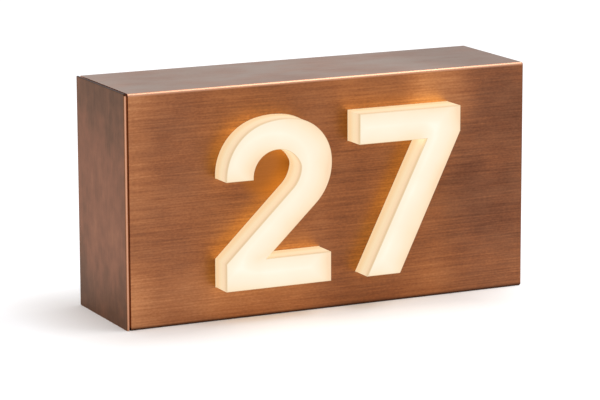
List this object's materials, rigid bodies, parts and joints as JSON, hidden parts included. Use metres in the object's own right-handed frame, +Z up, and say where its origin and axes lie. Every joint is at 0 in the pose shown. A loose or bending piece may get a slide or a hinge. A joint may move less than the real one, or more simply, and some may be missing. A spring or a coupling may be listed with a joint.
{
  "type": "house number plaque",
  "caption": "Free-standing or wall-fixed folded copper box with two proud opal acrylic numerals that are lit from behind.",
  "frame": {"origin": "on the surface that the box stands on, under the middle of the whole part", "axes": "+X along the front to the viewer's right, +Y from the lit front to the wall side, +Z up"},
  "size_m": [0.32, 0.109, 0.17],
  "materials": {
    "copper_cover": "horizontally brushed copper with a brown patina, lacquered",
    "copper_end": "brushed copper with a darker patina, bright worn edge",
    "opal_digit": "cast opal acrylic, satin, lit from behind",
    "opal_panel": "opal acrylic sheet",
    "zinc_steel": "zinc-plated steel",
    "stainless": "stainless steel, brushed",
    "foam_black": "closed-cell foam, matt",
    "rubber_black": "moulded rubber, matt",
    "aluminium": "mill finish",
    "board_white": "white solder resist on aluminium",
    "led_yellow": "diode package with yellow phosphor",
    "tinned": "tinned copper link",
    "driver_case": "white moulded case",
    "terminal_case": "dark moulded terminal block",
    "lead_white": "flat twin lead, white sheath"
  },
  "bodies": {
    "root": {"front_cover": "copper_cover", "end_plate": "copper_end", "digit_2": "opal_digit", "digit_7": "opal_digit", "diffuser_panel": "opal_panel", "panel_studs": "zinc_steel", "panel_nuts": "zinc_steel", "rear_plate": "stainless", "cover_rails": "stainless", "rear_gasket": "foam_black", "cable_grommet": "rubber_black", "lock_screws": "zinc_steel", "lock_nuts": "zinc_steel", "tray_standoffs": "zinc_steel", "led_tray": "aluminium", "tray_screws": "zinc_steel", "led_strips": "board_white", "led_packages": "led_yellow", "link_straps": "tinned", "led_driver": "driver_case", "plate_studs": "zinc_steel", "plate_nuts": "zinc_steel", "terminal_block": "terminal_case", "terminal_screws": "zinc_steel", "supply_lead": "lead_white", "output_lead": "lead_white"}
  },
  "joints": []
}
